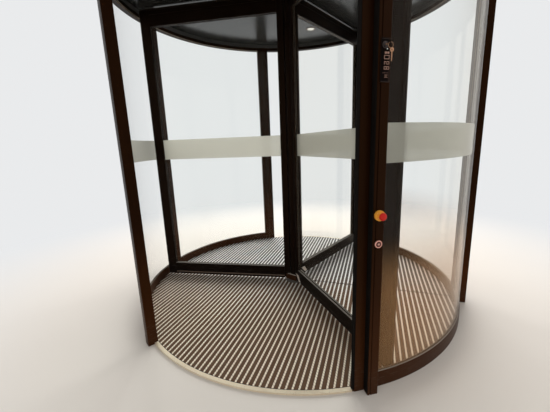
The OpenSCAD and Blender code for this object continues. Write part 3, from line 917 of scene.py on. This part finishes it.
class DOOR_OT_post_rubbers(bpy.types.Operator):
    """Fits a soft nose over each safety edge and lays a ribbed gasket down its post"""

    bl_idname = "door.post_rubbers"
    bl_label = "Safety noses and post gaskets"

    def execute(self, context):
        middle, radius, start = DRUM + 0.013, 0.0112, EDGE_START + 0.009
        half = [(radius, 0.0035)]
        for step in range(6):
            turn = math.pi * step / 12
            reach = 0.0104 if step == 5 else radius
            half.append((reach * math.cos(turn), -reach * math.sin(turn)))
        outline = half + [(0, -radius)] + [(-x, y) for x, y in reversed(half)]
        nose = [(middle + x, start + y) for x, y in outline]
        first, side = 1.4975, -HALF_POST - 2 * AIR
        gasket = [(first, side)]
        for step in range(6):
            rib = mm((0, -1.6), (4.6, -1.6), (5.0, -0.6), (6.6, -0.6))
            gasket += [(first + 0.0068 * step + x, side + y) for x, y in rib]
        gasket.append((first + 0.0408, side))
        rubbers = (("safety_nose", nose, 0.002, 0.002, 50), ("post_gasket", gasket, 0, 0.001, 32))
        for name, plan, foot, head, sharp in rubbers:
            for side, angle in SAFETY_POSTS.items():
                bm = bmesh.new()
                raised(bm, plan, MAT_TOP + foot, BEAM_BOTTOM - head, around(angle))
                finished(bm, f"{name}_{side}", "black_rubber", sharp=sharp)
        return {"FINISHED"}


class DOOR_OT_brush_carriers(bpy.types.Operator):
    """Clips the aluminium carrier of the lower brush onto the rear face of each wing"""

    bl_idname = "door.brush_carriers"
    bl_label = "Brush carriers"

    def execute(self, context):
        bm = bmesh.new()
        shoe = HALF_WING - 0.004
        section = mm((0.2, 46.5), (2.4, 46.5), (3.0, 49.0), (2.4, 58.5), (0.2, 60.0))
        points = [(0.1125, shoe + out, height) for out, height in section]
        for turn in WINGS.values():
            drawn_out(bm, points, (1.290, 0, 0), in_wing(turn))
        finished(bm, "brush_carriers", "carrier_metal", "rotor", 20)
        return {"FINISHED"}


class DOOR_OT_mat_pile(bpy.types.Operator):
    """Lays the textile strips between the ribs of the mat"""

    bl_idname = "door.mat_pile"
    bl_label = "Pile strips of the mat"

    def execute(self, context):
        height = context.scene.door_sizes.pile_height
        reach = DRUM - 0.0006
        half = (RIB_PITCH - RIB_WIDTH) / 2 - 0.0004
        foot = MAT_PLATE + AIR
        rise = (0.55, 0.88, 1.0, 0.93, 1.0, 0.88, 0.55)
        for name, turn in (("lobby", 0), ("street", 180)):
            bm = bmesh.new()
            for strip in range(-38, 38):
                middle = (strip + 0.5) * RIB_PITCH
                across = [middle + half * (step / 3 - 1) for step in range(7)]
                across = [min(max(x, 0.001 - reach), reach - 0.001) for x in across]
                if across[-1] - across[0] < half:
                    continue
                crown = [(x, -1, MAT_PLATE + height * up) for x, up in zip(across, rise)]
                section = crown + [(across[-1], -1, foot), (across[0], -1, foot)]
                for vert in drawn_out(bm, section, (0, 1, 0), Matrix()):
                    hub = math.sqrt(max(0, (FLOOR_PLATE + 0.001) ** 2 - vert.co.x**2))
                    vert.co.y = -max(hub, 0.0018)
            for vert in bm.verts:
                if vert.co.y < -0.9:
                    vert.co.y = -math.sqrt(max(0, reach**2 - vert.co.x**2))
            bm.transform(around(turn))
            finished(bm, f"mat_pile_{name}", "mat_pile", sharp=60)
        return {"FINISHED"}


class DOOR_OT_mat_fixings(bpy.types.Operator):
    """Adds the joint profile between the mat's halves and its bolts"""

    bl_idname = "door.mat_fixings"
    bl_label = "Mat joint and bolts"

    def execute(self, context):
        top = MAT_TOP + 0.0004
        bm = bmesh.new()
        for side in (-1, 1):
            low, high = sorted((side * (FLOOR_PLATE + 0.002), side * (DRUM - 0.002)))
            block(bm, (low, -0.0048, MAT_PLATE - 0.002), (high, 0.0048, top), Matrix())
        inner, outer = DRUM - 0.0034, DRUM - 2 * AIR
        section = [(inner, MAT_PLATE), (outer, MAT_PLATE), (outer, top), (inner, top - 2 * AIR)]
        for middle in (-90, 90):
            swept(bm, section, middle - HALF_OPENING, middle + HALF_OPENING)
        finished(bm, "mat_joint", "black_rubber")
        bm = bmesh.new()
        head = mm((0, 0.1), (5.2, 0.1), (5.2, 0.5), (4.5, 1.0), (2.6, 1.0), (2.2, 0.3), (0, 0.3))
        for rib in (-30, -20, -13, -6, 6, 14, 20, 30):
            for y in (-0.016, 0.016):
                turned(bm, head, shifted(rib * RIB_PITCH, y, MAT_TOP), 16)
        finished(bm, "mat_bolts", "dark_bronze")
        return {"FINISHED"}


class DOOR_OT_hub_guards(bpy.types.Operator):
    """Bends the guards round the shaft's foot, with their lips, and adds the wings' foot plates"""

    bl_idname = "door.hub_guards"
    bl_label = "Foot guards of the hub"

    def execute(self, context):
        face, reach, flange, sheet = 0.0625, 0.0570, 0.013, 0.0020
        slant_x, slant_y = 0.5 * flange, 0.866 * flange
        corner = (face + sheet, reach - 0.0035)
        plan = mirrored([
            (face, reach - 0.002),
            (face + slant_x, reach - 0.002 + slant_y),
            (face + slant_x + sheet, reach - 0.003 + slant_y),
            corner,
        ])
        lip = mirrored([(face - 0.010, reach - 0.008), corner])
        guards, plates = bmesh.new(), bmesh.new()
        near = -HALF_WING - AIR
        plate = [(x, near, z) for x, z in mm((82, 112), (138, 112), (186, 52), (150, 46))]
        for turn in WINGS.values():
            place = in_wing(turn + 60)
            raised(guards, plan, 0.024, 0.080, place)
            raised(plates, lip, 0.0801, 0.0819, place)
            drawn_out(plates, plate, (0, -0.0024, 0), in_wing(turn))
        finished(guards, "hub_guards", "dark_bronze", "rotor", 20)
        finished(plates, "hub_plates", "foot_plate", "rotor", 20)
        return {"FINISHED"}


class DOOR_OT_stop_details(bpy.types.Operator):
    """Moulds the emergency stop: mushroom button, collar rim and screw heads"""

    bl_idname = "door.stop_details"
    bl_label = "Emergency stop"

    def execute(self, context):
        place = on_control_face(STOP_HEIGHT) @ outwards()
        bm = bmesh.new()
        crown = mm(
            (0, 12.0), (7.0, 12.0), (7.0, 32.2), (18.2, 32.0), (19.4, 32.6), (20.0, 34.0),
            (20.0, 36.8), (19.6, 38.7), (18.4, 40.6), (16.0, 42.4), (12.6, 43.7), (8.8, 44.4),
            (8.0, 44.1), (7.2, 44.6), (3.6, 45.0), (0, 45.0),
        )
        turned(bm, crown, place, 64)
        button = finished(bm, "stop_mushroom", "button_red", "stop", 40)
        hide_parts("stop_button")
        bm = bmesh.new()
        rim = mm(
            (22.2, 11.9), (26.6, 11.9), (27.0, 12.6), (26.6, 13.8), (25.6, 14.2), (23.2, 14.2),
            (22.4, 13.6),
        )
        turned(bm, rim, place, 64, closed=True)
        seat = mm((13.2, 11.9), (15.2, 11.9), (14.8, 16.0), (13.2, 16.8))
        turned(bm, seat, place, 48, closed=True)
        finished(bm, "stop_rim", "collar_yellow", sharp=30)
        bm = bmesh.new()
        head = mm((0, 11.9), (1.6, 11.9), (1.6, 12.6), (0.8, 12.7), (0, 12.2))
        for turn in range(4):
            spot = place @ tilted(45 + 90 * turn, "Z")
            turned(bm, head, spot @ shifted(0.0188, 0, 0), 12)
        finished(bm, "stop_screws", "satin_chrome")
        return {"FINISHED"}


class DOOR_OT_switch_details(bpy.types.Operator):
    """Adds the dark red inlay, the plug and the bright rim of the key switch"""

    bl_idname = "door.switch_details"
    bl_label = "Key switch"

    def execute(self, context):
        face = on_control_face(SWITCH_HEIGHT)
        place = face @ outwards()
        bm = bmesh.new()
        turned(bm, mm((9.4, 6.9), (15.0, 6.9), (14.8, 7.3), (9.6, 7.2)), place, 48, closed=True)
        finished(bm, "switch_inlay", "switch_red")
        bm = bmesh.new()
        turns = [math.radians(turn) for turn in range(-90, 91, 15)]
        for side in (-1, 1):
            half = [(7.3, side * (1.0 + 4.2 * math.cos(turn)), 5.0 * math.sin(turn))
                    for turn in turns]
            drawn_out(bm, mm(*half), (0.0007, 0, 0), face)
        finished(bm, "switch_plug", "copper_satin", "switch_core")
        bm = bmesh.new()
        edge = mm((15.2, 5.0), (20.0, 4.8), (20.2, 5.6), (19.6, 7.0), (17.8, 8.1), (16.0, 8.0),
                  (15.2, 7.4))
        turned(bm, edge, place, 48, closed=True)
        finished(bm, "switch_rim", "copper_satin", sharp=50)
        return {"FINISHED"}


class DOOR_OT_panel_details(bpy.types.Operator):
    """Adds frame, border line, marks, lamps and lock rings of the mode panel"""

    bl_idname = "door.panel_details"
    bl_label = "Mode panel"

    def execute(self, context):
        face = on_control_face(PANEL_HEIGHT)
        bm = bmesh.new()
        sides = (
            (-23.5, -94.5, -21.9, 94.5), (21.9, -94.5, 23.5, 94.5), (-21.9, 92.9, 21.9, 94.5),
            (-21.9, -94.5, 21.9, -92.9),
        )
        for y0, z0, y1, z1 in sides:
            block(bm, *mm((0.1, y0, z0), (3.6, y1, z1)), face, 0.0003)
        finished(bm, "panel_frame", "dark_bronze")
        bm = bmesh.new()
        lines = ((-16.0, 88.8, 21.5, 89.9), (-19.0, -91.1, 21.5, -90.0), (20.7, -90.0, 21.5, -48.0))
        for y0, z0, y1, z1 in lines:
            block(bm, *mm((3.0, y0, z0), (3.2, y1, z1)), face)
        finished(bm, "panel_border", "dark_nickel")
        bm = bmesh.new()
        for y, z, wide, tall in PANEL_MARKS:
            low, high = (3.0, y - wide / 2, z - tall / 2), (3.2, y + wide / 2, z + tall / 2)
            block(bm, *mm(low, high), face)
        finished(bm, "panel_marks", "icon_paint")
        bm = bmesh.new()
        for y, z, radius in ((-0.0120, 0.0629, 0.0030), (0.0101, 0.0470, 0.0024)):
            spot = face @ shifted(0.003, y, z) @ outwards()
            dome = [(0, 0.0001), (radius, 0.0001), (0.9 * radius, 0.0007), (0.5 * radius, 0.0011),
                    (0, 0.0012)]
            turned(bm, dome, spot, 16)
        finished(bm, "panel_lamps", "lamp_lens")
        bm = bmesh.new()
        lock = on_control_face(LOCK_HEIGHT) @ outwards()
        outer = mm((11.2, 2.9), (15.0, 2.9), (14.8, 4.2), (13.8, 4.8), (11.2, 4.8))
        inner = mm((4.0, 8.9), (10.6, 8.9), (10.4, 9.6), (9.8, 9.9), (4.4, 9.9))
        for ring in (outer, inner):
            turned(bm, ring, lock, 40, closed=True)
        finished(bm, "panel_lock_rings", "dark_nickel")
        return {"FINISHED"}


class DOOR_OT_mode_keys(bpy.types.Operator):
    """Cuts the key in the panel's lock and the second key that hangs from it on a ring"""

    bl_idname = "door.mode_keys"
    bl_label = "Keys of the mode panel"

    def execute(self, context):
        place = on_control_face(LOCK_HEIGHT)
        upright = place @ shifted(0.031, 0, 0) @ tilted(90, "X")
        bm = bmesh.new()
        head = mirrored(mm((11.6, 1.2), (10.0, 2.0), (3.5, 2.0), (3.0, 1.4))) + [(0.0120, 0)]
        turned(bm, head, upright, 40, closed=True)
        finished(bm, "key_head", "black_rubber", "selector")
        bm = bmesh.new()
        shank = mm((0, 1.4), (3.1, 1.4), (3.1, 18.0), (2.5, 19.6), (0, 19.6))
        turned(bm, shank, place @ outwards(), 24)
        turns = [math.tau * step / 10 for step in range(10)]
        wire = mm(*((12.0 + 0.8 * math.cos(turn), 0.8 * math.sin(turn)) for turn in turns))
        hung = place @ shifted(0.037, 0.0045, -0.0110) @ outwards()
        turned(bm, wire, hung, 48, closed=True)
        drop = place @ shifted(0.038, 0.0105, -0.0300)
        bow = mirrored(mm((9.2, 0.7), (8.8, 1.1), (3.4, 1.1), (3.0, 0.7)))
        turned(bm, bow, drop @ outwards(), 36, closed=True)
        cuts = mm(
            (2.2, -8.5), (2.2, -19.0), (1.0, -21.0), (2.0, -23.5), (2.0, -27.0), (0.6, -29.5),
            (1.4, -32.5), (1.4, -35.0), (0.4, -37.5), (1.6, -40.5), (0.6, -45.5), (-1.0, -48.0),
            (-2.4, -46.0), (-2.4, -8.5),
        )
        drawn_out(bm, [(-0.0009, y, z) for y, z in cuts], (0.0018, 0, 0), drop)
        block(bm, *mm((0.9, -1.9, -44.0), (1.2, -0.6, -10.0)), drop)
        keys = finished(bm, "mode_keys", "worn_brass", "selector", 40)
        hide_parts("mode_key")
        return {"FINISHED"}


class DOOR_OT_ceiling_details(bpy.types.Operator):
    """Sets lens, ring and rim into each downlight and adds the gloss strip at the ceiling's edge"""

    bl_idname = "door.ceiling_details"
    bl_label = "Downlights and ceiling edge"

    def execute(self, context):
        lenses, rings, rims = bmesh.new(), bmesh.new(), bmesh.new()
        lens = mm((0, -4.6), (18.0, -4.4), (30.0, -3.8), (35.6, -2.6), (35.6, -0.6), (0, -0.6))
        ring = mm((36.0, -1.9), (42.0, -1.9), (42.0, -4.8), (36.4, -4.0))
        rim = mm((42.4, -1.9), (54.0, -1.9), (54.8, -2.4), (53.0, -4.4), (44.0, -5.2), (42.4, -5.0))
        for light in range(4):
            place = around(90 + 90 * light) @ shifted(LIGHT_CIRCLE, 0, CEILING)
            turned(lenses, lens, place, 40)
            turned(rings, ring, place, 48, closed=True)
            turned(rims, rim, place, 48, closed=True)
        finished(lenses, "downlight_lenses", "lamp_lens")
        finished(rings, "downlight_rings", "lamp_lacquer", sharp=40)
        finished(rims, "downlight_rims", "carrier_metal", sharp=40)
        bm = bmesh.new()
        inner, outer, top = DRUM - 5 * AIR, DRUM - AIR, CEILING - 2 * AIR
        strip = [(inner, BEAM_BOTTOM + 0.032), (outer, BEAM_BOTTOM + 0.031), (outer, top),
                 (inner, top)]
        for start in (0, 120, 240):
            swept(bm, strip, start, start + 120, 2)
        finished(bm, "ceiling_edge_strip", "edge_gloss")
        return {"FINISHED"}


class DOOR_OT_canopy_details(bpy.types.Operator):
    """Adds the canopy's edge trims, and the seams, hatch and screws of its cover"""

    bl_idname = "door.canopy_details"
    bl_label = "Canopy details"

    def execute(self, context):
        bm = bmesh.new()
        near, far = CANOPY + 2 * AIR, CANOPY + 16 * AIR
        for start in (3.4, 183.4):
            for low, high in ((BEAM_BOTTOM + 0.098, BEAM_TOP + 0.004),
                              (CANOPY_TOP - 0.010, CANOPY_TOP - 0.0004)):
                section = [(near, low), (far, low + 0.0006), (far, high - 0.0006), (near, high)]
                swept(bm, section, start, start + 173.2, 2)
        finished(bm, "fascia_trims", "dark_bronze")
        bm = bmesh.new()
        for seam in range(6):
            low, high = (0.24, -0.018, CANOPY_TOP), (CANOPY - 0.03, 0.018, CANOPY_TOP + 0.002)
            block(bm, low, high, around(30 + 60 * seam), 0.0006)
        disc = mm((0, 0), (260, 0), (260, 2), (254, 4), (0, 4))
        turned(bm, disc, shifted(0, 0, CANOPY_TOP), 64)
        finished(bm, "canopy_seams", "dark_bronze")
        bm = bmesh.new()
        hatch = around(240) @ shifted(0.95, 0, CANOPY_TOP)
        block(bm, *mm((-235, -235, 0), (235, 235, 3)), hatch, 0.0008)
        block(bm, *mm((-215, -215, 3), (215, 215, 9)), hatch, 0.003)
        latch = mm((0, 9), (18, 9), (18, 10.5), (15, 12.5), (0, 12.5))
        for x in (-0.16, 0.16):
            spot = hatch @ shifted(x, 0, 0)
            turned(bm, latch, spot, 24)
            block(bm, *mm((-2.5, -13, 12.5), (2.5, 13, 16)), spot, 0.001)
        finished(bm, "canopy_hatch", "dark_bronze")
        bm = bmesh.new()
        head = mm((0, 0), (7.5, 0), (7.2, 2.2), (5.0, 3.4), (2.6, 3.6), (2.6, 1.8), (0, 1.8))
        for seam in range(6):
            for step in range(6):
                spot = shifted(0.30 + 0.235 * step, 0, CANOPY_TOP + 0.002)
                turned(bm, head, around(30 + 60 * seam) @ spot, 12)
            spot = shifted(0.235, 0, CANOPY_TOP + 0.004)
            turned(bm, head, around(60 * seam) @ spot, 12)
        finished(bm, "canopy_screws", "satin_chrome")
        return {"FINISHED"}


def soft_box(name, place, target, size, power, tint):
    """A large soft area lamp that points at the target."""
    lamp = bpy.data.lights.new(name, "AREA")
    lamp.shape = "RECTANGLE"
    lamp.size, lamp.size_y = size
    lamp.energy = power
    lamp.color = tint
    holder = bpy.data.objects.new(name, lamp)
    holder.location = place
    holder.rotation_euler = (Vector(target) - Vector(place)).to_track_quat("-Z", "Y").to_euler()
    holder.visible_camera = False
    holder.visible_transmission = False
    holder.visible_glossy = False
    bpy.context.scene.collection.objects.link(holder)


class DOOR_OT_stage(bpy.types.Operator):
    """Sets up camera, lamps, background and floor"""

    bl_idname = "door.stage"
    bl_label = "Stage"

    def execute(self, context):
        settings = context.scene.door_stage
        lens = bpy.data.cameras.new("camera")
        lens.lens = settings.lens
        lens.sensor_width = 36
        camera = bpy.data.objects.new("camera", lens)
        context.scene.collection.objects.link(camera)
        camera.matrix_world = (
            shifted(0.7721, -2.8406, 1.4309)
            @ tilted(18.89, "Z")
            @ tilted(90 - 11.83, "X")
            @ tilted(-2.19, "Z")
        )
        context.scene.camera = camera
        context.scene.view_settings.view_transform = "Standard"
        soft_box("street_box", (-2.0, 9.5, 5.2), (0, 0, 0.6), (16, 7), settings.key, (1, 1, 1))
        warm = (1, 0.97, 0.94)
        soft_box("lobby_box", (3.0, -8.5, 7.0), (0, 0, 1.0), (16, 9), settings.fill, warm)
        world = bpy.data.worlds.new("studio")
        world.use_nodes = True
        context.scene.world = world
        sky = Sheet(world.node_tree)
        path = sky.node("ShaderNodeLightPath")
        seen = path.math("MAXIMUM", path, path.output("Is Glossy Ray"))
        seen = seen.math("MAXIMUM", seen, path.output("Is Transmission Ray"))
        way = sky.node("ShaderNodeTexCoord", output="Generated")
        street = sky.node("ShaderNodeSeparateXYZ", inputs={0: way}, output="Y").rise(-0.5, 0.5)
        dim, bright = ((settings.ambient * share,) * 3 for share in (0.50, 1.50))
        shade = sky.blend(seen, sky.blend(street, dim, bright), settings.backdrop)
        light = sky.node("ShaderNodeBackground", inputs={"Color": shade, "Strength": 1.0})
        sky.node("ShaderNodeOutputWorld", inputs={"Surface": light})
        self.lay_floor(settings)
        return {"FINISHED"}

    def lay_floor(self, settings):
        """A round pale floor that fades into the background far from the door."""
        made = Finish("studio_floor")
        grain = made.noise(3, 3)
        near = made.surface(
            Base_Color=made.blend(grain, tuned(settings.floor, 0.985), settings.floor),
            Roughness=0.6, Specular_IOR_Level=0.3,
        )
        far = made.node("ShaderNodeEmission", inputs={"Color": settings.backdrop})
        path = made.node("ShaderNodeLightPath")
        seen = path.math("MAXIMUM", path, path.output("Is Glossy Ray"))
        material = made.close(made.mix(made.radius().rise(1.9, 4.6) * seen, near, far))
        bm = bmesh.new()
        bmesh.ops.create_circle(bm, cap_ends=True, segments=64, radius=60)
        bmesh.ops.translate(bm, verts=bm.verts, vec=(0, 0, -0.0006))
        placed(bm, "studio_floor", material)


STEPS = (
    DOOR_OT_finishes,
    DOOR_OT_frosted_bands,
    DOOR_OT_wall_beads,
    DOOR_OT_wing_beads,
    DOOR_OT_brush_seals,
    DOOR_OT_post_rubbers,
    DOOR_OT_brush_carriers,
    DOOR_OT_mat_pile,
    DOOR_OT_mat_fixings,
    DOOR_OT_hub_guards,
    DOOR_OT_stop_details,
    DOOR_OT_switch_details,
    DOOR_OT_panel_details,
    DOOR_OT_mode_keys,
    DOOR_OT_ceiling_details,
    DOOR_OT_canopy_details,
    DOOR_OT_stage,
)


class DOOR_PT_panel(bpy.types.Panel):
    """Lists the steps that dress the door"""

    bl_idname = "DOOR_PT_panel"
    bl_label = "Revolving door"
    bl_space_type = "VIEW_3D"
    bl_region_type = "UI"
    bl_category = "Door"

    def draw(self, context):
        for name in ("door_sizes", "door_colours", "door_stage"):
            group = getattr(context.scene, name)
            for key in group.bl_rna.properties.keys():
                if key not in ("rna_type", "name"):
                    self.layout.prop(group, key)
        for step in STEPS:
            self.layout.operator(step.bl_idname)


CLASSES = (DoorSizes, DoorColours, StageSettings, *STEPS, DOOR_PT_panel)


def register():
    """Registers the classes and hangs the settings on the scene."""
    for item in CLASSES:
        bpy.utils.register_class(item)
    bpy.types.Scene.door_sizes = PointerProperty(type=DoorSizes)
    bpy.types.Scene.door_colours = PointerProperty(type=DoorColours)
    bpy.types.Scene.door_stage = PointerProperty(type=StageSettings)


def unregister():
    """Removes the settings and the classes."""
    del bpy.types.Scene.door_stage
    del bpy.types.Scene.door_colours
    del bpy.types.Scene.door_sizes
    for item in reversed(CLASSES):
        bpy.utils.unregister_class(item)


def main():
    """Registers the add-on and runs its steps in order."""
    register()
    bpy.ops.door.stage()
    bpy.ops.door.finishes()
    bpy.ops.door.frosted_bands()
    bpy.ops.door.wall_beads()
    bpy.ops.door.wing_beads()
    bpy.ops.door.brush_seals()
    bpy.ops.door.post_rubbers()
    bpy.ops.door.brush_carriers()
    bpy.ops.door.mat_pile()
    bpy.ops.door.mat_fixings()
    bpy.ops.door.hub_guards()
    bpy.ops.door.stop_details()
    bpy.ops.door.switch_details()
    bpy.ops.door.panel_details()
    bpy.ops.door.mode_keys()
    bpy.ops.door.ceiling_details()
    bpy.ops.door.canopy_details()


if __name__ == "__main__":
    main()
